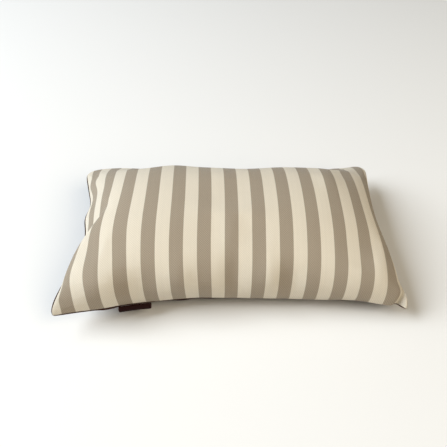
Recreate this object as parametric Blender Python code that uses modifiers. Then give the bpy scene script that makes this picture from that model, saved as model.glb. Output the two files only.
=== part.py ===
# Striped back cushion that lies on its back, its near long seam toward -Y.
# The cover is two flat panels sewn edge to edge around a soft filling, so every
# shape here is a place on the flat cover carried to where the filled cover lies.
import math
from collections import namedtuple

import bmesh
import bpy
import numpy as np

# The flat cover and the whole cushion, in metres
COVER_WIDTH = 0.50
COVER_DEPTH = 0.30
PANEL_THICKNESS = 0.0018
SEAM_LIP = 0.0022
GAP = 0.0003

# Grid of the panels, finer toward the seam where the cloth turns down
CELLS_ACROSS = 46
CELLS_ALONG = 28
SEAM_CROWDING = 0.35

# Height of the seam at the middle of the two short sides
LEFT_SEAM_HEIGHT = 0.062
RIGHT_SEAM_HEIGHT = 0.043
SIDE_END_Y = 0.149

# How full the crown is: the share of cloth that the sides take up, and how
# flat the top stays before it turns down
SIDE_FULLNESS = 0.18
SIDE_TURN = 7.0
CROWN_FLATNESS = 4.0
BOW_FLATNESS = 2.2

# The part of the back that lies flat on the surface, as shares of the cover. Where
# the back would rise by less than the least rise, it still lies flat. Between its
# corners the flat part is drawn in by the bow, as the sides of the cover are.
REST_ACROSS = 0.50
REST_ALONG = 0.42
REST_BOW = 0.02
BACK_ROUNDING = 2.0
LEAST_RISE = 0.005
HAIR = 0.0001

# Sections along the depth. Place runs from -1 at the near seam to 1 at the far seam.
# Left_bulge and right_bulge are how far the cloth hangs out over the short seams.
Section = namedtuple("Section", "place left_x right_x middle_y crown_z left_bulge right_bulge")
SECTIONS = (
    Section(place=-1.0, left_x=-0.241, right_x=0.231, middle_y=-0.119, crown_z=0.0365,
            left_bulge=0.0015, right_bulge=0.0015),
    Section(place=-0.5, left_x=-0.219, right_x=0.216, middle_y=-0.074, crown_z=0.098,
            left_bulge=0.0025, right_bulge=0.005),
    Section(place=0.0, left_x=-0.2055, right_x=0.209, middle_y=-0.002, crown_z=0.118,
            left_bulge=-0.0055, right_bulge=0.0025),
    Section(place=0.5, left_x=-0.2115, right_x=0.2155, middle_y=0.069, crown_z=0.108,
            left_bulge=-0.003, right_bulge=0.005),
    Section(place=1.0, left_x=-0.2385, right_x=0.237, middle_y=0.123, crown_z=0.0575,
            left_bulge=0.0015, right_bulge=0.0065),
)
BULGE_START = 0.70
BULGE_SHAPE = 27 / 4

# How far the near face stands out over the near seam, out and up by the same amount, and
# how far the seam is tucked back and down under it, which the front takes up more sharply.
# Both stay even along the middle of the seam and die out toward its two corners.
NEAR_FULLNESS = 0.007
NEAR_TUCK = 0.010
FRONT_TUCK_SHARPNESS = 6
BACK_TUCK_SHARPNESS = 2
NEAR_FACE_START = 0.40
NEAR_FACE_EVENNESS = 6

# Corners where the filling does not reach, pulled out and drooping, with a blunt tip
Ear = namedtuple("Ear", "side end out_x out_y drop blunt")
EARS = (
    Ear(side=-1, end=-1, out_x=-0.0025, out_y=0.0085, drop=0.020, blunt=0.003),
    Ear(side=1, end=-1, out_x=-0.004, out_y=0.0105, drop=0.0225, blunt=0.003),
    Ear(side=-1, end=1, out_x=0.012, out_y=-0.004, drop=0.014, blunt=0.004),
    Ear(side=1, end=1, out_x=-0.0065, out_y=-0.0015, drop=0.0105, blunt=0.006),
)
EAR_START_ACROSS = 0.60
EAR_START_ALONG = 0.50
TIP_SHARPNESS = 8

# Folds where one lobe of the cover laps over the next. A fold starts at the seam
# and dies out on the face; its valley is drawn in, down and under the near lobe.
Fold = namedtuple(
    "Fold", "start_across start_along end_across end_along inward toward_y down right_width left_width"
)
FOLDS = (
    Fold(start_across=-1.0, start_along=-0.39, end_across=-0.70, end_along=0.05,
         inward=0.008, toward_y=-0.0105, down=0.0185, right_width=0.007, left_width=0.020),
    Fold(start_across=0.92, start_along=-1.0, end_across=0.985, end_along=-0.50,
         inward=0.0005, toward_y=0.009, down=0.004, right_width=0.008, left_width=0.004),
)
FOLD_FADE = 0.8
FOLD_END_FADE = 0.016

# Soft swells and hollows of the cover, centred on the flat cover. Out is away
# from the middle toward the nearer short side.
Swell = namedtuple("Swell", "across along out rise radius")
SWELLS = (
    Swell(across=-1.00, along=0.12, out=0.006, rise=0.002, radius=0.022),
    Swell(across=-0.72, along=-0.24, out=0.0055, rise=-0.002, radius=0.050),
    Swell(across=-0.84, along=-0.68, out=0.0055, rise=0.000, radius=0.026),
    Swell(across=-0.93, along=-0.86, out=0.0035, rise=0.0005, radius=0.012),
    Swell(across=-0.89, along=0.52, out=0.006, rise=-0.0025, radius=0.020),
    Swell(across=-0.73, along=-1.00, out=0.0015, rise=-0.0025, radius=0.022),
    Swell(across=-0.22, along=-1.00, out=-0.0015, rise=0.003, radius=0.040),
    Swell(across=0.72, along=-1.00, out=0.000, rise=0.0055, radius=0.045),
    Swell(across=0.94, along=-0.92, out=0.0035, rise=0.003, radius=0.019),
    Swell(across=-0.34, along=0.78, out=0.000, rise=0.006, radius=0.034),
    Swell(across=0.10, along=0.75, out=0.0005, rise=-0.004, radius=0.035),
    Swell(across=0.58, along=0.75, out=0.001, rise=-0.003, radius=0.035),
    Swell(across=0.88, along=0.92, out=0.000, rise=0.0025, radius=0.020),
)

# Label folded over and caught in the near seam, hanging out and down
LABEL_START = -0.638
LABEL_END = -0.460
LABEL_LENGTH = 0.0088
LABEL_THICKNESS = 0.0022
LABEL_CLEARANCE = 0.0009
LABEL_DROOP_TOP = math.radians(10)
LABEL_DROOP_END = math.radians(125)
LABEL_CORNER = 0.05
LABEL_CORNER_SHARPNESS = 8
LABEL_CELLS_ACROSS = 10
LABEL_CELLS_DOWN = 5

COLOURS = {
    "striped_cloth": ((0.66, 0.60, 0.50), 0.85),
    "back_leather": ((0.030, 0.008, 0.009), 0.45),
    "label_leather": ((0.040, 0.010, 0.011), 0.40),
}


def clear_scene():
    for item in list(bpy.data.objects):
        bpy.data.objects.remove(item, do_unlink=True)


def collection_named(name):
    group = bpy.data.collections.new(name)
    bpy.context.scene.collection.children.link(group)
    return group


def material_named(name):
    colour, roughness = COLOURS[name]
    material = bpy.data.materials.new(name)
    material.use_nodes = True
    shader = material.node_tree.nodes["Principled BSDF"]
    shader.inputs["Base Color"].default_value = (*colour, 1.0)
    shader.inputs["Roughness"].default_value = roughness
    shader.inputs["Metallic"].default_value = 0.0
    return material


def section_at(along):
    """The values of the sections at any place, each on a smooth curve through its column."""
    table = np.array([row[1:] for row in SECTIONS])
    before = 2 * table[0] - table[1]
    after = 2 * table[-1] - table[-2]
    knots = np.vstack([before, table, after])
    steps = len(SECTIONS) - 1
    spot = (along + 1) * steps / 2
    cell = np.clip(np.floor(spot).astype(int), 0, steps - 1)
    t = (spot - cell)[:, None]
    a, b, c, d = knots[cell], knots[cell + 1], knots[cell + 2], knots[cell + 3]
    smooth = 2 * b + (c - a) * t + (2 * a - 5 * b + 4 * c - d) * t**2 + (3 * b - a - 3 * c + d) * t**3
    return (smooth / 2).T


def ear_shift(across, along):
    shift = np.zeros((len(across), 3))
    for ear in EARS:
        near_side = np.clip((ear.side * across - EAR_START_ACROSS) / (1 - EAR_START_ACROSS), 0, 1)
        near_end = np.clip((ear.end * along - EAR_START_ALONG) / (1 - EAR_START_ALONG), 0, 1)
        reach = near_side * near_end
        shift += (reach**2)[:, None] * np.array([ear.out_x, ear.out_y, -ear.drop])
        shift -= (reach**TIP_SHARPNESS)[:, None] * ear.blunt * np.array([ear.side, ear.end, 0])
    return shift


def on_cover(across, along):
    return np.stack([across * COVER_WIDTH / 2, along * COVER_DEPTH / 2], axis=-1)


def fold_shift(across, along):
    """Cloth drawn in along each fold. Right and left are as seen going from its start to its end."""
    shift = np.zeros((len(across), 3))
    place = on_cover(across, along)
    for fold in FOLDS:
        start = on_cover(fold.start_across, fold.start_along)
        end = on_cover(fold.end_across, fold.end_along)
        length = np.linalg.norm(end - start)
        run = (end - start) / length
        side = np.array([run[1], -run[0]])
        travelled = (place - start) @ run / length
        beyond = np.maximum(travelled - 1, 0) * length
        offset = (place - start) @ side
        width = np.where(offset > 0, fold.right_width, fold.left_width)
        falloff = np.exp(-(offset / width) ** 2 - (beyond / FOLD_END_FADE) ** 2)
        depth = (1 - np.clip(travelled, 0, 1)) ** FOLD_FADE * falloff
        inward = -np.sign(fold.start_across) * fold.inward
        shift += depth[:, None] * np.array([inward, fold.toward_y, -fold.down])
    return shift


def swell_shift(across, along):
    shift = np.zeros((len(across), 3))
    place = on_cover(across, along)
    for swell in SWELLS:
        apart = np.linalg.norm(place - on_cover(swell.across, swell.along), axis=1)
        share = np.exp(-(apart / swell.radius) ** 2)
        shift += share[:, None] * np.array([np.sign(swell.across) * swell.out, 0, swell.rise])
    return shift


def near_stand_out(across, along, on_front):
    """How far the cover stands out and up near the near seam; less than 0 where it is tucked in."""
    before = np.clip((-along - NEAR_FACE_START) / (1 - NEAR_FACE_START), 0, 1)
    if on_front:
        fullness = NEAR_FULLNESS * BULGE_SHAPE * before**2 * (1 - before)
        tuck = NEAR_TUCK * before**FRONT_TUCK_SHARPNESS
    else:
        fullness = 0.0
        tuck = NEAR_TUCK * before**BACK_TUCK_SHARPNESS
    return (fullness - tuck) * (1 - across**NEAR_FACE_EVENNESS)


def front_place(across, along, on_front=True):
    """Where a place on the flat front panel lies on the filled cushion."""
    left, right, middle_y, crown_z, left_bulge, right_bulge = section_at(along)
    if not on_front:
        left_bulge = np.minimum(left_bulge, 0)
        right_bulge = np.minimum(right_bulge, 0)
    fullness = SIDE_FULLNESS * (1 - along**2)
    reach = across * (1 + fullness - fullness * np.abs(across) ** SIDE_TURN)
    beside = np.clip((np.abs(across) - BULGE_START) / (1 - BULGE_START), 0, 1)
    bulge = np.where(across < 0, -left_bulge, right_bulge) * BULGE_SHAPE * beside**2 * (1 - beside)
    x = left + (right - left) * (1 + reach) / 2 + bulge
    end_y = SIDE_END_Y * along
    y = end_y + (middle_y - end_y) * (1 - np.abs(across) ** BOW_FLATNESS)
    seam_z = LEFT_SEAM_HEIGHT + (RIGHT_SEAM_HEIGHT - LEFT_SEAM_HEIGHT) * (1 + across) / 2
    middle_seam_z = (LEFT_SEAM_HEIGHT + RIGHT_SEAM_HEIGHT) / 2
    z = seam_z + (crown_z - middle_seam_z) * (1 - np.abs(across) ** CROWN_FLATNESS)
    stand_out = near_stand_out(across, along, on_front)
    y = y - stand_out
    z = z + stand_out
    place = np.stack([x, y, z], axis=1) + ear_shift(across, along) + swell_shift(across, along)
    if on_front:
        place += fold_shift(across, along)
    return place


def toward_seam(share, flat_share):
    """How far the back has risen to the seam: 0 on the flat part and 1 at the seam."""
    rise = np.clip((np.abs(share) - flat_share) / (1 - flat_share), 0, 1) ** BACK_ROUNDING
    return np.where(rise < LEAST_RISE, 0.0, rise)


def between_corners(share, flat_share):
    """1 at the middle of the flat part and 0 at its corners and beyond."""
    return np.clip(1 - (share / flat_share) ** 2, 0, 1)


def seam_height(across, along):
    """Height of the seam carried over the whole cover, exact on all four sides."""
    ones = np.ones(len(across))
    right_share = (1 + across) / 2
    far_share = (1 + along) / 2
    left = front_place(-ones, along)[:, 2]
    right = front_place(ones, along)[:, 2]
    near = front_place(across, -ones)[:, 2]
    far = front_place(across, ones)[:, 2]
    near_corners = (
        (1 - right_share) * front_place(-ones, -ones)[:, 2] + right_share * front_place(ones, -ones)[:, 2]
    )
    far_corners = (
        (1 - right_share) * front_place(-ones, ones)[:, 2] + right_share * front_place(ones, ones)[:, 2]
    )
    corners = (1 - far_share) * near_corners + far_share * far_corners
    return (1 - right_share) * left + right_share * right + (1 - far_share) * near + far_share * far - corners


def back_place(across, along, seam_drop, floor_height):
    """Where a place on the flat back lies: flat in the middle, rising to the seam all round."""
    rise = 1 - (1 - toward_seam(across, REST_ACROSS)) * (1 - toward_seam(along, REST_ALONG))
    place = front_place(across, along, on_front=False)
    place += fold_shift(across, along) * rise[:, None]
    place[:, 0] *= 1 - REST_BOW * (1 - rise) * between_corners(along, REST_ALONG)
    place[:, 1] *= 1 - REST_BOW * (1 - rise) * between_corners(across, REST_ACROSS)
    seam_z = seam_height(across, along) - seam_drop
    place[:, 2] = floor_height + (seam_z - floor_height) * rise
    return place


def crowded(share):
    """Moves evenly spaced grid lines toward the seam."""
    return share * (1 + SEAM_CROWDING * (1 - share**2))


def add_sheet(mesh, place_of, facing_up):
    """Adds one panel to the mesh as a grid over the flat cover and returns its rim edges."""
    made = bmesh.ops.create_grid(mesh, x_segments=CELLS_ACROSS, y_segments=CELLS_ALONG, size=1.0)
    points = made["verts"]
    flat = np.array([[point.co.x, point.co.y] for point in points])
    placed = place_of(crowded(flat[:, 0]), crowded(flat[:, 1]))
    for point, place in zip(points, placed):
        point.co = place
    faces = {face for point in points for face in point.link_faces}
    if not facing_up:
        bmesh.ops.reverse_faces(mesh, faces=list(faces))
    return [edge for face in faces for edge in face.edges if edge.is_boundary]


def object_from(mesh, name, group, material):
    data = bpy.data.meshes.new(name)
    mesh.to_mesh(data)
    mesh.free()
    data.materials.append(material)
    data.shade_smooth()
    data.set_sharp_from_angle(angle=math.radians(50))
    item = bpy.data.objects.new(name, data)
    group.objects.link(item)
    return item


def make_cushion(group, material):
    """The filled body under the striped front panel, closed by a low lip along the seam."""
    under_floor = PANEL_THICKNESS + GAP
    mesh = bmesh.new()
    top_rim = add_sheet(mesh, front_place, facing_up=True)

    def under(across, along):
        return back_place(across, along, SEAM_LIP, under_floor)

    under_rim = add_sheet(mesh, under, facing_up=False)
    bmesh.ops.bridge_loops(mesh, edges=top_rim + under_rim)
    bmesh.ops.recalc_face_normals(mesh, faces=mesh.faces)
    return object_from(mesh, "cushion", group, material)


def press_flat(item):
    """Applies the modifiers and puts what lies within a hair of the surface exactly on it."""
    depsgraph = bpy.context.evaluated_depsgraph_get()
    data = bpy.data.meshes.new_from_object(item.evaluated_get(depsgraph))
    for point in data.vertices:
        if point.co.z < HAIR:
            point.co.z = 0.0
    item.modifiers.clear()
    item.data = data


def make_back_panel(group, material):
    """The plain back panel, one sheet that wraps the underside and ends at the seam."""
    mesh = bmesh.new()

    def inner(across, along):
        return back_place(across, along, SEAM_LIP, PANEL_THICKNESS + GAP)

    add_sheet(mesh, inner, facing_up=False)
    item = object_from(mesh, "back_panel", group, material)
    clear = item.modifiers.new("gap to the body", "DISPLACE")
    clear.strength = GAP
    clear.mid_level = 0.0
    sheet = item.modifiers.new("panel thickness", "SOLIDIFY")
    sheet.thickness = PANEL_THICKNESS
    sheet.offset = 1.0
    press_flat(item)
    return item


def label_hang(share):
    """How far out and how far down the label has come at a share of its length, along an arc."""
    turn = LABEL_DROOP_END - LABEL_DROOP_TOP
    droop = LABEL_DROOP_TOP + turn * share
    out = LABEL_LENGTH * (math.sin(droop) - math.sin(LABEL_DROOP_TOP)) / turn
    down = LABEL_LENGTH * (math.cos(LABEL_DROOP_TOP) - math.cos(droop)) / turn
    return out, down


def make_label(group, material):
    """A folded tab whose root lies in the near seam, curling down to a soft fold."""
    mesh = bmesh.new()
    made = bmesh.ops.create_grid(
        mesh, x_segments=LABEL_CELLS_ACROSS, y_segments=LABEL_CELLS_DOWN, size=0.5
    )
    for point in made["verts"]:
        share = point.co.y + 0.5
        width = (LABEL_END - LABEL_START) * (1 - LABEL_CORNER * share**LABEL_CORNER_SHARPNESS)
        across = (LABEL_START + LABEL_END) / 2 + width * point.co.x
        out, down = label_hang(share)
        root = front_place(np.array([across]), np.array([-1.0]))[0]
        point.co = (root[0], root[1] - LABEL_CLEARANCE - out, root[2] - SEAM_LIP / 2 - down)
    item = object_from(mesh, "label_tab", group, material)
    fold = item.modifiers.new("folded thickness", "SOLIDIFY")
    fold.thickness = LABEL_THICKNESS
    fold.offset = 0.0
    soft = item.modifiers.new("soft edges", "BEVEL")
    soft.width = LABEL_THICKNESS * 0.35
    soft.segments = 2
    soft.limit_method = "ANGLE"
    soft.angle_limit = math.radians(50)
    return item


def centre_on_origin(items):
    """Puts the middle of the whole cushion's footprint at the origin; its foot is at zero already."""
    depsgraph = bpy.context.evaluated_depsgraph_get()
    corners = []
    for item in items:
        shaped = item.evaluated_get(depsgraph)
        corners += [shaped.matrix_world @ vertex.co for vertex in shaped.data.vertices]
    spread = np.array(corners)
    middle = (spread.min(axis=0) + spread.max(axis=0)) / 2
    for item in items:
        item.location = (-middle[0], -middle[1], 0.0)


def main():
    clear_scene()
    group = collection_named("back_cushion")
    cushion = make_cushion(group, material_named("striped_cloth"))
    back_panel = make_back_panel(group, material_named("back_leather"))
    label = make_label(group, material_named("label_leather"))
    centre_on_origin([cushion, back_panel, label])


main()
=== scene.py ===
# A striped back cushion lying on its leather back, on a pale studio floor.
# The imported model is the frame: every piece here is placed in its coordinates.
import math
from collections import namedtuple

import bpy
import numpy as np
from mathutils import Matrix, Vector


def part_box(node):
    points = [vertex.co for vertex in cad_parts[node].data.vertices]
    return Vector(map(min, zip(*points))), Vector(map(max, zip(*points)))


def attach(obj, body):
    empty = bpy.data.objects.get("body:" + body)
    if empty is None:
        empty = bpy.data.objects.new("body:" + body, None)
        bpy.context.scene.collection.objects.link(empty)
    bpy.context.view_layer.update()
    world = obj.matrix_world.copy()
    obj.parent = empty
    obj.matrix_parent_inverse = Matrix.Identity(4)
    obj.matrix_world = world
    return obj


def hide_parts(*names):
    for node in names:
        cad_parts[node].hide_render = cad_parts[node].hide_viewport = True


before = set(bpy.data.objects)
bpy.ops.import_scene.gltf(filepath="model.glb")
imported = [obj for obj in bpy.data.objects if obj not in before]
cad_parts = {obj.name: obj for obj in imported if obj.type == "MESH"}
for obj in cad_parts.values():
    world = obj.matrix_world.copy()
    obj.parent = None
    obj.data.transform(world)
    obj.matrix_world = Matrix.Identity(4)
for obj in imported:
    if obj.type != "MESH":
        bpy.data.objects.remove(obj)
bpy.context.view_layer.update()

# Striped front and filling
# A front panel of woven twill, cream and taupe stripes running front to back, is sewn edge to
# edge to a leather back and stuffed with loose fibre, so the crown is full, the sides are drawn
# in and the corners droop. A place on the flat cover runs from -1 to 1 across and along.
COVER_WIDTH = 0.50
COVER_DEPTH = 0.30
PANEL_THICKNESS = 0.0018
GAP = 0.0003

# Height of the seam at the middle of the two short sides, and how far from the middle of the
# cushion those sides end
LEFT_SEAM_HEIGHT = 0.062
RIGHT_SEAM_HEIGHT = 0.043
SIDE_END_Y = 0.149

# The share of cloth that the sides take up, and how flat the top stays before it turns down
SIDE_FULLNESS = 0.18
SIDE_TURN = 7.0
CROWN_FLATNESS = 4.0
BOW_FLATNESS = 2.2

# The part of the back that lies flat, as shares of the cover
REST_ACROSS = 0.50
REST_ALONG = 0.42
REST_BOW = 0.02
BACK_ROUNDING = 2.0
LEAST_RISE = 0.005

# Sections along the depth, from the near seam to the far seam
Section = namedtuple("Section", "place left_x right_x middle_y crown_z left_bulge right_bulge")
SECTIONS = (
    Section(place=-1.0, left_x=-0.241, right_x=0.231, middle_y=-0.119, crown_z=0.0365,
            left_bulge=0.0015, right_bulge=0.0015),
    Section(place=-0.5, left_x=-0.219, right_x=0.216, middle_y=-0.074, crown_z=0.098,
            left_bulge=0.0025, right_bulge=0.005),
    Section(place=0.0, left_x=-0.2055, right_x=0.209, middle_y=-0.002, crown_z=0.118,
            left_bulge=-0.0055, right_bulge=0.0025),
    Section(place=0.5, left_x=-0.2115, right_x=0.2155, middle_y=0.069, crown_z=0.108,
            left_bulge=-0.003, right_bulge=0.005),
    Section(place=1.0, left_x=-0.2385, right_x=0.237, middle_y=0.123, crown_z=0.0575,
            left_bulge=0.0015, right_bulge=0.0065),
)
BULGE_START = 0.70

# With this factor a bulge, share * share * (1 - share), is 1 at its highest
BULGE_SHAPE = 27 / 4

# How far the near face stands out over the near seam, out and up by the same amount, and
# how far the seam is tucked back and down under it, which the front takes up more sharply
NEAR_FULLNESS = 0.007
NEAR_TUCK = 0.010
FRONT_TUCK_SHARPNESS = 6
BACK_TUCK_SHARPNESS = 2
NEAR_FACE_START = 0.40
NEAR_FACE_EVENNESS = 6

# Corners where the filling does not reach
Ear = namedtuple("Ear", "side end out_x out_y drop blunt")
EARS = (
    Ear(side=-1, end=-1, out_x=-0.0025, out_y=0.0085, drop=0.020, blunt=0.003),
    Ear(side=1, end=-1, out_x=-0.0015, out_y=0.0105, drop=0.0225, blunt=0.003),
    Ear(side=-1, end=1, out_x=0.012, out_y=-0.004, drop=0.014, blunt=0.004),
    Ear(side=1, end=1, out_x=-0.0065, out_y=-0.0015, drop=0.0105, blunt=0.006),
)
EAR_START_ACROSS = 0.60
EAR_START_ALONG = 0.50
TIP_SHARPNESS = 8

# Folds where one lobe of the cover laps over the next
Fold = namedtuple(
    "Fold", "start_across start_along end_across end_along inward toward_y down right_width left_width"
)
FOLDS = (
    Fold(start_across=-1.0, start_along=-0.39, end_across=-0.70, end_along=0.05,
         inward=0.008, toward_y=-0.0105, down=0.0185, right_width=0.007, left_width=0.020),
    Fold(start_across=0.92, start_along=-1.0, end_across=0.985, end_along=-0.50,
         inward=0.0005, toward_y=0.009, down=0.004, right_width=0.008, left_width=0.004),
)
FOLD_FADE = 0.8
FOLD_END_FADE = 0.016

# Soft swells and hollows of the cover
Swell = namedtuple("Swell", "across along out rise radius")
SWELLS = (
    Swell(across=-1.00, along=0.12, out=0.006, rise=0.002, radius=0.022),
    Swell(across=-0.72, along=-0.24, out=0.0055, rise=-0.002, radius=0.050),
    Swell(across=-0.84, along=-0.68, out=0.0055, rise=0.000, radius=0.026),
    Swell(across=-0.93, along=-0.86, out=0.0035, rise=0.0005, radius=0.012),
    Swell(across=-0.89, along=0.52, out=0.006, rise=-0.0025, radius=0.020),
    Swell(across=-0.73, along=-1.00, out=0.0015, rise=-0.0025, radius=0.022),
    Swell(across=-0.22, along=-1.00, out=-0.0015, rise=0.003, radius=0.040),
    Swell(across=0.72, along=-1.00, out=0.000, rise=0.0055, radius=0.045),
    Swell(across=0.94, along=-0.92, out=0.0035, rise=0.003, radius=0.019),
    Swell(across=0.93, along=-0.87, out=0.0025, rise=0.0005, radius=0.014),
    Swell(across=1.00, along=-0.78, out=0.001, rise=0.000, radius=0.030),
    Swell(across=-0.34, along=0.78, out=0.000, rise=0.006, radius=0.034),
    Swell(across=0.10, along=0.75, out=0.0005, rise=-0.004, radius=0.035),
    Swell(across=0.58, along=0.75, out=0.001, rise=-0.003, radius=0.035),
    Swell(across=0.56, along=0.62, out=0.000, rise=0.0015, radius=0.022),
    Swell(across=0.74, along=0.62, out=0.000, rise=0.0015, radius=0.018),
    Swell(across=0.80, along=0.97, out=0.000, rise=-0.003, radius=0.016),
    Swell(across=0.64, along=0.95, out=0.000, rise=-0.006, radius=0.026),
    Swell(across=0.88, along=0.92, out=0.000, rise=0.0025, radius=0.020),
)

# Soft ripples where the filling lies unevenly. Each stands out toward the near edge and up by
# the same amount, or lies back and down where that is less than 0.
Ripple = namedtuple("Ripple", "across along stand_out half_width half_length")
RIPPLES = (
    Ripple(across=-0.72, along=-0.78, stand_out=0.0035, half_width=0.024, half_length=0.024),
    Ripple(across=-0.50, along=-0.84, stand_out=-0.0040, half_width=0.024, half_length=0.024),
    Ripple(across=-0.28, along=-0.82, stand_out=0.0025, half_width=0.014, half_length=0.022),
    Ripple(across=-0.12, along=-0.84, stand_out=0.0008, half_width=0.007, half_length=0.016),
    Ripple(across=-0.01, along=-0.38, stand_out=0.0012, half_width=0.013, half_length=0.022),
    Ripple(across=0.02, along=-0.80, stand_out=-0.0032, half_width=0.014, half_length=0.026),
    Ripple(across=0.20, along=-0.78, stand_out=0.0030, half_width=0.014, half_length=0.024),
    Ripple(across=0.33, along=-0.84, stand_out=-0.0030, half_width=0.014, half_length=0.020),
    Ripple(across=0.82, along=-0.66, stand_out=0.0030, half_width=0.020, half_length=0.026),
    Ripple(across=-0.40, along=-1.00, stand_out=-0.0040, half_width=0.070, half_length=0.016),
    Ripple(across=0.585, along=0.35, stand_out=0.0035, half_width=0.018, half_length=0.035),
)


def section_at(along):
    """The values of the sections at any place, each on a smooth curve through its column."""
    table = np.array([row[1:] for row in SECTIONS])
    before = 2 * table[0] - table[1]
    after = 2 * table[-1] - table[-2]
    knots = np.vstack([before, table, after])
    steps = len(SECTIONS) - 1
    spot = (along + 1) * steps / 2
    cell = np.clip(np.floor(spot).astype(int), 0, steps - 1)
    t = (spot - cell)[:, None]
    a, b, c, d = knots[cell], knots[cell + 1], knots[cell + 2], knots[cell + 3]
    smooth = 2 * b + (c - a) * t + (2 * a - 5 * b + 4 * c - d) * t**2 + (3 * b - a - 3 * c + d) * t**3
    return (smooth / 2).T


def ear_shift(across, along):
    shift = np.zeros((len(across), 3))
    for ear in EARS:
        near_side = np.clip((ear.side * across - EAR_START_ACROSS) / (1 - EAR_START_ACROSS), 0, 1)
        near_end = np.clip((ear.end * along - EAR_START_ALONG) / (1 - EAR_START_ALONG), 0, 1)
        reach = near_side * near_end
        shift += (reach**2)[:, None] * np.array([ear.out_x, ear.out_y, -ear.drop])
        shift -= (reach**TIP_SHARPNESS)[:, None] * ear.blunt * np.array([ear.side, ear.end, 0])
    return shift


def on_cover(across, along):
    return np.stack([across * COVER_WIDTH / 2, along * COVER_DEPTH / 2], axis=-1)


def fold_shift(across, along):
    """Cloth drawn in along each fold. Right and left are as seen going from its start to its end."""
    shift = np.zeros((len(across), 3))
    place = on_cover(across, along)
    for fold in FOLDS:
        start = on_cover(fold.start_across, fold.start_along)
        end = on_cover(fold.end_across, fold.end_along)
        length = np.linalg.norm(end - start)
        run = (end - start) / length
        side = np.array([run[1], -run[0]])
        travelled = (place - start) @ run / length
        beyond = np.maximum(travelled - 1, 0) * length
        offset = (place - start) @ side
        width = np.where(offset > 0, fold.right_width, fold.left_width)
        falloff = np.exp(-(offset / width) ** 2 - (beyond / FOLD_END_FADE) ** 2)
        depth = (1 - np.clip(travelled, 0, 1)) ** FOLD_FADE * falloff
        inward = -np.sign(fold.start_across) * fold.inward
        shift += depth[:, None] * np.array([inward, fold.toward_y, -fold.down])
    return shift


def swell_shift(across, along):
    shift = np.zeros((len(across), 3))
    place = on_cover(across, along)
    for swell in SWELLS:
        apart = np.linalg.norm(place - on_cover(swell.across, swell.along), axis=1)
        share = np.exp(-(apart / swell.radius) ** 2)
        shift += share[:, None] * np.array([np.sign(swell.across) * swell.out, 0, swell.rise])
    return shift


def near_stand_out(across, along, on_front):
    """How far the cover stands out and up near the near seam; less than 0 where it is tucked in."""
    before = np.clip((-along - NEAR_FACE_START) / (1 - NEAR_FACE_START), 0, 1)
    if on_front:
        fullness = NEAR_FULLNESS * BULGE_SHAPE * before**2 * (1 - before)
        tuck = NEAR_TUCK * before**FRONT_TUCK_SHARPNESS
    else:
        fullness = 0.0
        tuck = NEAR_TUCK * before**BACK_TUCK_SHARPNESS
    return (fullness - tuck) * (1 - across**NEAR_FACE_EVENNESS)


def ripple_stand_out(across, along):
    total = np.zeros(len(across))
    for ripple in RIPPLES:
        apart = on_cover(across, along) - on_cover(ripple.across, ripple.along)
        falloff = (apart[:, 0] / ripple.half_width) ** 2 + (apart[:, 1] / ripple.half_length) ** 2
        total += ripple.stand_out * np.exp(-falloff)
    return total


def front_place(across, along, on_front=True):
    """Where a place on the flat front panel lies on the filled cushion."""
    left, right, middle_y, crown_z, left_bulge, right_bulge = section_at(along)
    if not on_front:
        left_bulge = np.minimum(left_bulge, 0)
        right_bulge = np.minimum(right_bulge, 0)
    fullness = SIDE_FULLNESS * (1 - along**2)
    reach = across * (1 + fullness - fullness * np.abs(across) ** SIDE_TURN)
    beside = np.clip((np.abs(across) - BULGE_START) / (1 - BULGE_START), 0, 1)
    bulge = np.where(across < 0, -left_bulge, right_bulge) * BULGE_SHAPE * beside**2 * (1 - beside)
    x = left + (right - left) * (1 + reach) / 2 + bulge
    end_y = SIDE_END_Y * along
    y = end_y + (middle_y - end_y) * (1 - np.abs(across) ** BOW_FLATNESS)
    seam_z = LEFT_SEAM_HEIGHT + (RIGHT_SEAM_HEIGHT - LEFT_SEAM_HEIGHT) * (1 + across) / 2
    middle_seam_z = (LEFT_SEAM_HEIGHT + RIGHT_SEAM_HEIGHT) / 2
    z = seam_z + (crown_z - middle_seam_z) * (1 - np.abs(across) ** CROWN_FLATNESS)
    stand_out = near_stand_out(across, along, on_front) + ripple_stand_out(across, along)
    y = y - stand_out
    z = z + stand_out
    place = np.stack([x, y, z], axis=1) + ear_shift(across, along) + swell_shift(across, along)
    if on_front:
        place += fold_shift(across, along)
    return place


def toward_seam(share, flat_share):
    """How far the back has risen to the seam: 0 on the flat part and 1 at the seam."""
    rise = np.clip((np.abs(share) - flat_share) / (1 - flat_share), 0, 1) ** BACK_ROUNDING
    return np.where(rise < LEAST_RISE, 0.0, rise)


def between_corners(share, flat_share):
    """1 at the middle of the flat part and 0 at its corners and beyond."""
    return np.clip(1 - (share / flat_share) ** 2, 0, 1)


def seam_height(across, along):
    """Height of the seam carried over the whole cover, exact on all four sides."""
    ones = np.ones(len(across))
    right_share = (1 + across) / 2
    far_share = (1 + along) / 2
    left = front_place(-ones, along)[:, 2]
    right = front_place(ones, along)[:, 2]
    near = front_place(across, -ones)[:, 2]
    far = front_place(across, ones)[:, 2]
    end_corners = []
    for end in (-ones, ones):
        left_corner = front_place(-ones, end)[:, 2]
        right_corner = front_place(ones, end)[:, 2]
        end_corners.append((1 - right_share) * left_corner + right_share * right_corner)
    near_corners, far_corners = end_corners
    corners = (1 - far_share) * near_corners + far_share * far_corners
    sides = (1 - right_share) * left + right_share * right
    return sides + (1 - far_share) * near + far_share * far - corners


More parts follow.
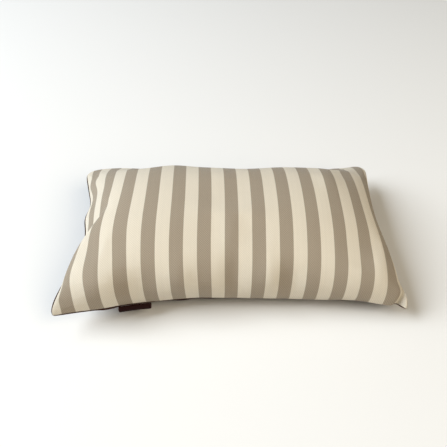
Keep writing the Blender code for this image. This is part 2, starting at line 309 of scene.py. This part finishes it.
def under_place(across, along):
    """Where the underside of the filling lies: flat in the middle, rising to the seam all round."""
    rise = 1 - (1 - toward_seam(across, REST_ACROSS)) * (1 - toward_seam(along, REST_ALONG))
    place = front_place(across, along, on_front=False)
    place += fold_shift(across, along) * rise[:, None]
    place[:, 0] *= 1 - REST_BOW * (1 - rise) * between_corners(along, REST_ALONG)
    place[:, 1] *= 1 - REST_BOW * (1 - rise) * between_corners(across, REST_ACROSS)
    rest_height = PANEL_THICKNESS + GAP
    place[:, 2] = rest_height + (seam_height(across, along) - rest_height) * rise
    return place


# The two panels as one closed grid that shares its points along the seam
CELLS_ACROSS = 110
CELLS_ALONG = 66
SEAM_CROWDING = 0.35


def crowded(cells):
    """Grid lines from -1 to 1, closer together toward the seam."""
    share = np.linspace(-1, 1, cells + 1)
    return share * (1 + SEAM_CROWDING * (1 - share**2))


grid_across, grid_along = (
    grid.ravel() for grid in np.meshgrid(crowded(CELLS_ACROSS), crowded(CELLS_ALONG))
)
line_points = CELLS_ACROSS + 1
grid_points = len(grid_across)
on_seam = (np.abs(grid_across) > 1 - 1e-9) | (np.abs(grid_along) > 1 - 1e-9)
inside = np.flatnonzero(~on_seam)
under_of = np.arange(grid_points)
under_of[inside] = grid_points + np.arange(len(inside))

first = (np.arange(CELLS_ALONG)[:, None] * line_points + np.arange(CELLS_ACROSS)[None, :]).ravel()
front_faces = np.stack([first, first + 1, first + 1 + line_points, first + line_points], axis=1)
under_faces = under_of[front_faces][:, ::-1]

cover_across = np.concatenate([grid_across, grid_across[inside]])
cover_along = np.concatenate([grid_along, grid_along[inside]])
cover_side = np.concatenate([np.where(on_seam, 0.0, 1.0), -np.ones(len(inside))])
designed = np.vstack(
    [front_place(grid_across, grid_along), under_place(grid_across, grid_along)[inside]]
)

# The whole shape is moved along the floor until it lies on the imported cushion
cad_cushion_low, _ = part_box("cushion")
to_frame = np.array(cad_cushion_low) - designed.min(axis=0)
to_frame[2] = 0.0
designed += to_frame

# The tip of the near left corner is rounder in cloth than in the solid
TIP_DRAWN_IN = 0.002
TIP_RADIUS = 0.006
from_tip = np.linalg.norm(on_cover(cover_across, cover_along) - on_cover(-1, -1), axis=1)
designed[:, 0] += TIP_DRAWN_IN * np.exp(-(from_tip / TIP_RADIUS) ** 2)


def mesh_object(name, points, faces):
    """A new smooth mesh object from points and faces, linked, selected and active."""
    data = bpy.data.meshes.new(name)
    data.from_pydata([tuple(point) for point in points], [], [tuple(face) for face in faces])
    data.update()
    data.shade_smooth()
    item = bpy.data.objects.new(name, data)
    bpy.context.scene.collection.objects.link(item)
    bpy.ops.object.select_all(action="DESELECT")
    item.select_set(True)
    bpy.context.view_layer.objects.active = item
    return item


# Filling the cover: cloth with the flat panels' lengths, blown up by the filling's volume
# while its seam is held where the photograph has it
FILL_VOLUME = 0.0086
FILL_STIFFNESS = 20
FILL_FRAMES = 24
REST_LIFT = 0.0027

# The cloth may leave the designed shape by no more than this, and by less behind the crown
MOST_MOVE = 0.0022
FAR_START = 0.25
FAR_MOVE = 0.25


def filled(points):
    """Where the cover's points lie once the filling has pressed it out over the floor."""
    cover = mesh_object("cover_to_fill", points, np.vstack([front_faces, under_faces]))
    cover.shape_key_add(name="as laid")
    flat = cover.shape_key_add(name="as cut")
    cut = np.column_stack([on_cover(cover_across, cover_along), cover_side * GAP])
    flat.data.foreach_set("co", cut.astype(np.float32).ravel())
    flat.value = 0.0
    held = cover.vertex_groups.new(name="held at the seam")
    held.add([int(point) for point in np.flatnonzero(cover_side == 0)], 1.0, "REPLACE")

    cloth = cover.modifiers.new("filled cover", "CLOTH")
    settings = cloth.settings
    settings.quality = 6
    settings.mass = 0.002
    settings.air_damping = 2.0
    settings.tension_stiffness = 40
    settings.compression_stiffness = 40
    settings.shear_stiffness = 10
    settings.bending_stiffness = 0.5
    settings.tension_damping = 5
    settings.compression_damping = 5
    settings.shear_damping = 5
    settings.bending_damping = 0.5
    settings.use_pressure = True
    settings.uniform_pressure_force = 0.0
    settings.use_pressure_volume = True
    settings.target_volume = FILL_VOLUME
    settings.pressure_factor = FILL_STIFFNESS
    settings.rest_shape_key = flat
    settings.vertex_group_mass = held.name
    settings.pin_stiffness = 1.0
    cloth.collision_settings.distance_min = 0.002
    cloth.collision_settings.collision_quality = 3
    cloth.point_cache.frame_start = 1
    cloth.point_cache.frame_end = FILL_FRAMES

    floor_height = PANEL_THICKNESS + GAP - REST_LIFT
    bed = mesh_object(
        "bed_to_fill_on",
        [(-1, -1, floor_height), (1, -1, floor_height), (1, 1, floor_height), (-1, 1, floor_height)],
        [(0, 1, 2, 3)],
    )
    bed.modifiers.new("solid", "COLLISION")
    bed.collision.thickness_outer = 0.001
    bed.collision.cloth_friction = 20

    scene = bpy.context.scene
    scene.frame_start = 1
    scene.frame_end = FILL_FRAMES
    for number in range(1, FILL_FRAMES + 1):
        scene.frame_set(number)
    shaped = cover.evaluated_get(bpy.context.evaluated_depsgraph_get()).data
    result = np.empty(len(points) * 3, np.float32)
    shaped.vertices.foreach_get("co", result)
    for item in (cover, bed):
        data = item.data
        bpy.data.objects.remove(item, do_unlink=True)
        bpy.data.meshes.remove(data)
    scene.frame_set(1)
    move = result.reshape(-1, 3).astype(float) - points
    length = np.maximum(np.linalg.norm(move, axis=1), 1e-9)
    behind = np.clip((cover_along - FAR_START) / (1 - FAR_START), 0, 1)
    most = MOST_MOVE * (1 - (1 - FAR_MOVE) * behind)
    return points + move * (most * np.tanh(length / most) / length)[:, None]


cover_points = filled(designed)


def cover_attribute(item, across, along, side):
    """Keeps each point's place on the flat cover, which the pattern and the weave follow."""
    values = np.column_stack([across, along, side]).astype(np.float32)
    item.data.attributes.new("cover", "FLOAT_VECTOR", "POINT").data.foreach_set("vector", values.ravel())


def apply_modifiers(item):
    bpy.ops.object.select_all(action="DESELECT")
    item.select_set(True)
    bpy.context.view_layer.objects.active = item
    for modifier in list(item.modifiers):
        bpy.ops.object.modifier_apply(modifier=modifier.name)


def smoothed(item):
    finer = item.modifiers.new("soft surface", "SUBSURF")
    finer.levels = 1
    finer.render_levels = 1


front = mesh_object("striped_front", cover_points, np.vstack([front_faces, under_faces]))
cover_attribute(front, cover_across, cover_along, cover_side)
smoothed(front)
apply_modifiers(front)


class Tone:
    """One socket of a finish. Arithmetic on it adds Math nodes to the same finish."""

    def __init__(self, socket):
        self.socket = socket

    def node(self, kind, settings, inputs, output=0):
        """Adds a node: its settings first, then the values or links of its sockets."""
        tree = self.socket.id_data
        made = tree.nodes.new(kind)
        for name, value in settings.items():
            setattr(made, name, value)
        for name, value in inputs.items():
            if isinstance(value, Tone):
                tree.links.new(value.socket, made.inputs[name])
            else:
                made.inputs[name].default_value = value
        return Tone(made.outputs[output])

    def math(self, operation, *values):
        return self.node("ShaderNodeMath", {"operation": operation}, dict(enumerate(values)))

    def __add__(self, other):
        return self.math("ADD", self, other)

    def __radd__(self, other):
        return self.math("ADD", other, self)

    def __sub__(self, other):
        return self.math("SUBTRACT", self, other)

    def __rsub__(self, other):
        return self.math("SUBTRACT", other, self)

    def __mul__(self, other):
        return self.math("MULTIPLY", self, other)

    def __rmul__(self, other):
        return self.math("MULTIPLY", other, self)

    def __truediv__(self, other):
        return self.math("DIVIDE", self, other)

    def __mod__(self, other):
        return self.math("FLOORED_MODULO", self, other)

    def __lt__(self, other):
        return self.math("LESS_THAN", self, other)

    def __abs__(self):
        return self.math("ABSOLUTE", self)

    def sine(self):
        return self.math("SINE", self)

    def floor(self):
        return self.math("FLOOR", self)

    def larger(self, other):
        return self.math("MAXIMUM", self, other)

    def eased(self, low, high):
        """0 below low, 1 above high and a smooth step between."""
        settings = {"interpolation_type": "SMOOTHSTEP"}
        return self.node("ShaderNodeMapRange", settings, {0: self, 1: low, 2: high, 3: 0.0, 4: 1.0})

    def blended(self, lower, upper):
        """Lower colour where this tone is 0, upper colour where it is 1."""
        settings = {"data_type": "RGBA", "clamp_factor": True}
        return self.node("ShaderNodeMix", settings, {0: self, 6: lower, 7: upper}, output=2)

    def tinted(self, amount):
        """This colour times a grey tone."""
        grey = self.node("ShaderNodeCombineColor", {}, {0: amount, 1: amount, 2: amount})
        settings = {"data_type": "RGBA", "blend_type": "MULTIPLY"}
        return self.node("ShaderNodeMix", settings, {0: 1.0, 6: self, 7: grey}, output=2)

    def noise(self, scale, detail, roughness=0.5):
        """Clouds on this vector, from 0 to 1."""
        inputs = {"Vector": self, "Scale": scale, "Detail": detail, "Roughness": roughness}
        return self.node("ShaderNodeTexNoise", {}, inputs)

    def feeds(self, shader, name):
        self.socket.id_data.links.new(self.socket, shader.inputs[name])


def new_finish(name, constants):
    """A new material, its shader with the constants set, and its cover coordinates as a tone."""
    material = bpy.data.materials.new(name)
    material.use_nodes = True
    tree = material.node_tree
    shader = tree.nodes["Principled BSDF"]
    for socket, value in constants.items():
        shader.inputs[socket].default_value = value
    place = tree.nodes.new("ShaderNodeAttribute")
    place.attribute_name = "cover"
    return material, shader, Tone(place.outputs["Vector"])


def flat_place(cover):
    """Metres across and metres along the flat cover, from a cover coordinate."""
    across = cover.node("ShaderNodeSeparateXYZ", {}, {0: cover}, output=0)
    along = cover.node("ShaderNodeSeparateXYZ", {}, {0: cover}, output=1)
    return across * (COVER_WIDTH / 2), along * (COVER_DEPTH / 2)


def vector_of(x, y):
    return x.node("ShaderNodeCombineXYZ", {}, {0: x, 1: y})


# Stripes are counted from the left seam, and even counts start a taupe one. How soft their
# edges are, and how far they wander, are shares of a stripe's width.
STRIPE_COUNT = 27.06
FIRST_STRIPE = 1.05
STRIPE_SOFTNESS = 0.018
STRIPE_WANDER = 0.03
CREAM = (0.716, 0.643, 0.521, 1.0)
TAUPE = (0.351, 0.290, 0.2165, 1.0)

# The width of a yarn, the repeat and width of a rib in yarns, the share of the ribs that climb
# to the left, and how much darker each colour is between its ribs
YARN = 0.00078
RIB_REPEAT = 4.0
RIB_WIDTH = 1.5
LEFT_RIBS = 0.58
CREAM_RIB_DEPTH = 0.14
TAUPE_RIB_DEPTH = 0.34

# Where the cloth is pressed at the near edge, and where it is free again, as places along the
# cover, how much darker painted shade makes it there, and how high its creases are beside the yarns
NEAR_EDGE_PRESSED = -0.95
NEAR_EDGE_FREE = -0.55
NEAR_EDGE_PAINTED_SHADE = 0.12
NEAR_EDGE_CREASES = 3.0

cloth, cloth_shader, cover = new_finish(
    "striped_twill",
    {"Roughness": 0.88, "Specular IOR Level": 0.25, "Sheen Weight": 0.12, "Sheen Roughness": 0.5},
)
metres_across, metres_along = flat_place(cover)

# Weave: a small diamond twill. Its ribs climb both ways, those to the left a little bolder.
warp = metres_across / YARN
weft = metres_along / YARN
warp_count = warp.floor()
weft_count = weft.floor()
ribs_to_left = (warp_count + weft_count) % RIB_REPEAT < RIB_WIDTH
ribs_to_right = (warp_count - weft_count) % RIB_REPEAT < RIB_WIDTH
warp_on_top = ribs_to_left * LEFT_RIBS + ribs_to_right * (1.0 - LEFT_RIBS)
warp_round = ((warp % 1.0) * math.pi).sine()
weft_round = ((weft % 1.0) * math.pi).sine()
yarn_height = warp_on_top * warp_round + (1.0 - warp_on_top) * weft_round * 0.8

# Stripes: a saw-tooth count across the cover, eased from one colour to the other
wander = (vector_of(metres_across, metres_along).noise(900.0, 2.0) - 0.5) * STRIPE_WANDER
stripe = metres_across * (STRIPE_COUNT / COVER_WIDTH) + (FIRST_STRIPE + STRIPE_COUNT / 2) + wander
from_taupe = abs((stripe + 0.5) % 2.0 - 1.0)
taupe_share = 1.0 - from_taupe.eased(0.5 - STRIPE_SOFTNESS, 0.5 + STRIPE_SOFTNESS)
striped = taupe_share.blended(CREAM, TAUPE)

# Near edge: fine creases run along it, where the cloth is pressed as it turns down, and painted shade
# darkens it there
creases = vector_of(metres_across * 45.0, metres_along * 420.0).noise(1.0, 2.0)
near_edge = 1.0 - (metres_along / (COVER_DEPTH / 2)).eased(NEAR_EDGE_PRESSED, NEAR_EDGE_FREE)

# Colour variation: each yarn's own shade, slubs along it, and broad clouds
yarn_shade = warp_count.node("ShaderNodeTexWhiteNoise", {"noise_dimensions": "1D"}, {1: warp_count})
slubs = vector_of(metres_across * 900.0, metres_along * 90.0).noise(1.0, 3.0)
clouds = vector_of(metres_across, metres_along).noise(14.0, 3.0)
rib_depth = CREAM_RIB_DEPTH + taupe_share * (TAUPE_RIB_DEPTH - CREAM_RIB_DEPTH)
weave_tone = 1.0 + (yarn_height - 0.5) * 0.12 + (warp_on_top - 0.5) * rib_depth
tone = weave_tone * (0.965 + yarn_shade * 0.03 + slubs * 0.05) * (0.97 + clouds * 0.06)
# Painted shade darkens the cloth toward the near edge, standing in for the shade there as the cloth
# turns down
striped.tinted(tone * (1.0 - NEAR_EDGE_PAINTED_SHADE * near_edge)).feeds(cloth_shader, "Base Color")
(0.80 + slubs * 0.12 + (1.0 - yarn_height) * 0.06).feeds(cloth_shader, "Roughness")
relief = yarn_height + slubs * 0.5 + NEAR_EDGE_CREASES * creases * near_edge
relief.node("ShaderNodeBump", {}, {"Strength": 0.6, "Distance": 0.0003, "Height": relief}).feeds(
    cloth_shader, "Normal"
)

front.data.materials.append(cloth)
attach(front, "root")
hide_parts("cushion")

# Leather back
# One plain panel of thin dark leather wraps the underside and is sewn to the striped front all
# round. Its edge is pared thin and drawn in under the cloth, apart from where it comes out past it.
EDGE_PROUD = 0.0022
EDGE_DRAWN_IN = 0.6
EDGE_HIDE_RATE = 3
PARED_SHARE = 0.15
PARED_WIDTH = 0.010

# Places on the cover where the leather's edge shows, how far each reaches along the seam, and
# the share of EDGE_PROUD by which it comes out
EdgeShow = namedtuple("EdgeShow", "across along reach share")
EDGE_SHOWS = (
    EdgeShow(across=-0.86, along=-1.00, reach=0.036, share=0.55),
    EdgeShow(across=-0.69, along=-1.00, reach=0.010, share=1.0),
    EdgeShow(across=-0.52, along=-1.00, reach=0.030, share=0.4),
    EdgeShow(across=0.95, along=-1.00, reach=0.008, share=0.8),
    EdgeShow(across=-1.00, along=-0.80, reach=0.020, share=0.75),
    EdgeShow(across=-1.00, along=0.00, reach=0.045, share=0.45),
    EdgeShow(across=-1.00, along=0.70, reach=0.045, share=0.40),
)


def edge_show(across, along):
    """How much of the leather's edge comes out past the cloth, from 0 to 1."""
    total = np.zeros(len(across))
    for show in EDGE_SHOWS:
        apart = np.linalg.norm(on_cover(across, along) - on_cover(show.across, show.along), axis=1)
        total += show.share * np.exp(-(apart / show.reach) ** 2)
    return np.minimum(total, 1)


def outward(points, faces):
    """Unit normals of the points over these faces alone."""
    a, b, c, d = (points[faces[:, k]] for k in range(4))
    across_face = np.cross(c - a, d - b)
    total = np.zeros_like(points)
    for k in range(4):
        np.add.at(total, faces[:, k], across_face)
    return total / np.maximum(np.linalg.norm(total, axis=1, keepdims=True), 1e-12)


under_points, under_index = np.unique(under_faces, return_inverse=True)
leather_faces = under_index.reshape(under_faces.shape)
under_across = cover_across[under_points]
under_along = cover_along[under_points]
skin = cover_points[under_points]
skin_out = outward(skin, leather_faces)
skin_on_seam = cover_side[under_points] == 0
away = outward(cover_points, np.vstack([front_faces, under_faces]))[under_points]
leather_points = skin + skin_out * GAP
shown = edge_show(under_across, under_along)
leather_points += away * (EDGE_PROUD * shown * skin_on_seam)[:, None]

# Where the edge doesn't show, it is drawn toward the next point inside the seam
line, column = np.divmod(under_points[skin_on_seam], line_points)
next_line = np.clip(line, 1, CELLS_ALONG - 1)
next_column = np.clip(column, 1, CELLS_ACROSS - 1)
next_inside = under_of[next_line * line_points + next_column]
drawn_in = EDGE_DRAWN_IN * np.clip(1 - EDGE_HIDE_RATE * shown[skin_on_seam], 0, 1)
leather_points[skin_on_seam] += (cover_points[next_inside] - skin[skin_on_seam]) * drawn_in[:, None]

back = mesh_object("leather_back", leather_points, leather_faces)
cover_attribute(back, under_across, under_along, cover_side[under_points])
full = back.vertex_groups.new(name="full thickness")
flat_spot = np.abs(on_cover(under_across, under_along))
from_edge = np.min([COVER_WIDTH / 2, COVER_DEPTH / 2] - flat_spot, axis=1)
for point, thickness in enumerate(np.maximum(shown, np.clip(from_edge / PARED_WIDTH, 0, 1))):
    full.add([point], thickness, "REPLACE")
panel = back.modifiers.new("leather thickness", "SOLIDIFY")
panel.thickness = PANEL_THICKNESS
panel.offset = 1.0
panel.vertex_group = full.name
panel.thickness_vertex_group = PARED_SHARE
smoothed(back)
apply_modifiers(back)

OXBLOOD = (0.014, 0.0028, 0.0035, 1.0)
OXBLOOD_LIGHT = (0.030, 0.008, 0.009, 1.0)
WORN_EDGE = (0.085, 0.038, 0.026, 1.0)
WORN_START = 0.975
WORN_SHARE = 0.8
GRAIN_SCALE = 620.0


def leather_finish(name):
    """Dark leather with a fine pebbled grain, soft clouds of tone and a paler worn edge."""
    material, shader, cover = new_finish(
        name, {"Specular IOR Level": 0.1, "Specular Tint": (1.0, 0.75, 0.6, 1.0)}
    )
    object_place = cover.node("ShaderNodeTexCoord", {}, {}, output=3)
    grain = cover.node(
        "ShaderNodeTexVoronoi",
        {"feature": "DISTANCE_TO_EDGE"},
        {"Vector": object_place, "Scale": GRAIN_SCALE},
    )
    pebbles = grain.eased(0.0, 0.28)
    creases = object_place.noise(55.0, 5.0, 0.6)
    clouds = object_place.noise(11.0, 3.0)
    across, along = flat_place(cover)
    from_middle = (abs(across) / (COVER_WIDTH / 2)).larger(abs(along) / (COVER_DEPTH / 2))
    edge = from_middle.eased(WORN_START, 1.0) * (0.4 + creases * 0.6)
    body = clouds.eased(0.35, 0.75).blended(OXBLOOD, OXBLOOD_LIGHT)
    toned = body.tinted(0.75 + pebbles * 0.35)
    (edge * WORN_SHARE).blended(toned, WORN_EDGE).feeds(shader, "Base Color")
    (0.56 - pebbles * 0.14 + creases * 0.12).feeds(shader, "Roughness")
    relief = pebbles + creases * 1.5
    relief.node("ShaderNodeBump", {}, {"Strength": 0.5, "Distance": 0.0004, "Height": relief}).feeds(
        shader, "Normal"
    )
    return material


back.data.materials.append(leather_finish("oxblood_leather"))
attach(back, "root")
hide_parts("back_panel")

# Bare label
# A short strip of the same leather is folded in half, its two ends caught in the near seam, so
# it hangs out below the edge and curls down. Nothing is stamped on it. It starts and ends at
# these places across the cover.
LABEL_START = -0.638
LABEL_END = -0.460
LABEL_LENGTH = 0.0088
LABEL_LEATHER = 0.0009
LABEL_CLEARANCE = 0.0012
LABEL_FOLD_RADIUS = 0.0007
LABEL_DROOP_TOP = math.radians(10)
LABEL_DROOP_END = math.radians(125)
LABEL_CORNER = 0.05
LABEL_CORNER_SHARPNESS = 8
LABEL_WORN_REACH = 0.9
LABEL_CELLS_ACROSS = 24
LABEL_CELLS_DOWN = 12
LABEL_FOLD_CELLS = 6


def label_hang(share):
    """How far out and down the label has come at a share of its length, and its droop there."""
    turn = LABEL_DROOP_END - LABEL_DROOP_TOP
    droop = LABEL_DROOP_TOP + turn * share
    out = LABEL_LENGTH * (math.sin(droop) - math.sin(LABEL_DROOP_TOP)) / turn
    down = LABEL_LENGTH * (math.cos(LABEL_DROOP_TOP) - math.cos(droop)) / turn
    return out, down, droop


def label_profile():
    """Out, down and share of length of the strip: down the upper leaf, round the fold and back."""
    upper = []
    lower = []
    for step in range(LABEL_CELLS_DOWN + 1):
        share = step / LABEL_CELLS_DOWN
        out, down, droop = label_hang(share)
        over_out = math.sin(droop) * LABEL_FOLD_RADIUS
        over_down = -math.cos(droop) * LABEL_FOLD_RADIUS
        upper.append((out + over_out, down + over_down, share))
        lower.append((out - over_out, down - over_down, share))
    fold = []
    for step in range(1, LABEL_FOLD_CELLS):
        turn = math.pi * step / LABEL_FOLD_CELLS
        ahead = LABEL_FOLD_RADIUS * math.sin(turn)
        fold_out = out + over_out * math.cos(turn) + ahead * math.cos(droop)
        fold_down = down + over_down * math.cos(turn) + ahead * math.sin(droop)
        fold.append((fold_out, fold_down, 1.0))
    return upper + fold + lower[::-1]


profile = label_profile()
label_middle = (LABEL_START + LABEL_END) / 2
label_rows = []
for out, down, share in profile:
    half_width = (LABEL_END - LABEL_START) / 2 * (1 - LABEL_CORNER * share**LABEL_CORNER_SHARPNESS)
    label_across = label_middle + half_width * np.linspace(-1, 1, LABEL_CELLS_ACROSS + 1)
    root = front_place(label_across, -np.ones(len(label_across))) + to_frame
    label_rows.append(root - np.array([0, LABEL_CLEARANCE + out, PANEL_THICKNESS / 2 + down]))
label_points = np.concatenate(label_rows)
label_row = LABEL_CELLS_ACROSS + 1
label_faces = [
    (first, first + label_row, first + label_row + 1, first + 1)
    for down in range(len(profile) - 1)
    for first in range(down * label_row, down * label_row + LABEL_CELLS_ACROSS)
]
label = mesh_object("folded_label", label_points, label_faces)
cover_attribute(
    label,
    np.tile(np.linspace(-1, 1, label_row), len(profile)),
    np.repeat(np.linspace(-1, 1, len(profile)) * LABEL_WORN_REACH, label_row),
    np.zeros(len(label_points)),
)
strip = label.modifiers.new("leather thickness", "SOLIDIFY")
strip.thickness = LABEL_LEATHER
strip.offset = 0.0
smoothed(label)
apply_modifiers(label)
label.data.materials.append(leather_finish("label_leather"))
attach(label, "root")
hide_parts("label_tab")

# Studio floor and light
# A plain pale floor, a large cool soft light high on the left, and a weak warm one in front on
# the right, as for a product photograph.
FLOOR_SIZE = 8.0
FLOOR_COLOUR = (0.86, 0.85, 0.83, 1.0)
ROOM_COLOUR = (1.0, 0.985, 0.96, 1.0)
ROOM_STRENGTH = 0.06
LAMP_AIM = Vector((0.0, 0.0, 0.05))

bpy.ops.object.select_all(action="DESELECT")
bpy.ops.mesh.primitive_plane_add(size=FLOOR_SIZE, location=(0.0, 0.0, 0.0))
floor = bpy.context.object
floor.name = "floor"
floor_finish = bpy.data.materials.new("pale_floor")
floor_finish.use_nodes = True
floor_shader = floor_finish.node_tree.nodes["Principled BSDF"]
floor_shader.inputs["Base Color"].default_value = FLOOR_COLOUR
floor_shader.inputs["Roughness"].default_value = 0.9
floor.data.materials.append(floor_finish)

Lamp = namedtuple("Lamp", "name place size power colour")
LAMPS = (
    Lamp("key_light", (-2.38, 0.00, 2.19), 2.3, 144.0, (0.88, 0.94, 1.0)),
    Lamp("warm_fill", (1.68, -1.68, 2.19), 2.3, 60.5, (1.0, 0.88, 0.68)),
)
for lamp in LAMPS:
    data = bpy.data.lights.new(lamp.name, "AREA")
    data.energy = lamp.power
    data.size = lamp.size
    data.color = lamp.colour
    light = bpy.data.objects.new(lamp.name, data)
    bpy.context.scene.collection.objects.link(light)
    light.location = lamp.place
    light.rotation_euler = (LAMP_AIM - light.location).to_track_quat("-Z", "Y").to_euler()

world = bpy.data.worlds.new("studio")
world.use_nodes = True
world.node_tree.nodes["Background"].inputs["Color"].default_value = ROOM_COLOUR
world.node_tree.nodes["Background"].inputs["Strength"].default_value = ROOM_STRENGTH
bpy.context.scene.world = world
bpy.context.scene.view_settings.view_transform = "Standard"

# Camera
# It looks down on the near seam from a little to the left of the middle, at the photograph's
# angle and distance.
CAMERA_ELEVATION = math.radians(44.68)
CAMERA_AZIMUTH = math.radians(-1.66)
CAMERA_ROLL = math.radians(-0.99)
CAMERA_DISTANCE = 0.863
CAMERA_LENS = 47.19
CAMERA_TARGET = Vector((-0.0107, 0.012, 0.05)) + Vector(to_frame)

camera_data = bpy.data.cameras.new("camera")
camera_data.sensor_width = 36.0
camera_data.lens = CAMERA_LENS
camera_data.clip_start = 0.01
camera = bpy.data.objects.new("camera", camera_data)
bpy.context.scene.collection.objects.link(camera)
level_right = Vector((math.cos(CAMERA_AZIMUTH), math.sin(CAMERA_AZIMUTH), 0.0))
level_ahead = Vector((-math.sin(CAMERA_AZIMUTH), math.cos(CAMERA_AZIMUTH), 0.0))
straight_up = Vector((0.0, 0.0, 1.0))
ahead = math.cos(CAMERA_ELEVATION) * level_ahead - math.sin(CAMERA_ELEVATION) * straight_up
level_up = math.sin(CAMERA_ELEVATION) * level_ahead + math.cos(CAMERA_ELEVATION) * straight_up
right = math.cos(CAMERA_ROLL) * level_right + math.sin(CAMERA_ROLL) * level_up
up = math.cos(CAMERA_ROLL) * level_up - math.sin(CAMERA_ROLL) * level_right
turned = Matrix((right, up, -ahead)).transposed().to_4x4()
camera.matrix_world = Matrix.Translation(CAMERA_TARGET - CAMERA_DISTANCE * ahead) @ turned
bpy.context.scene.camera = camera
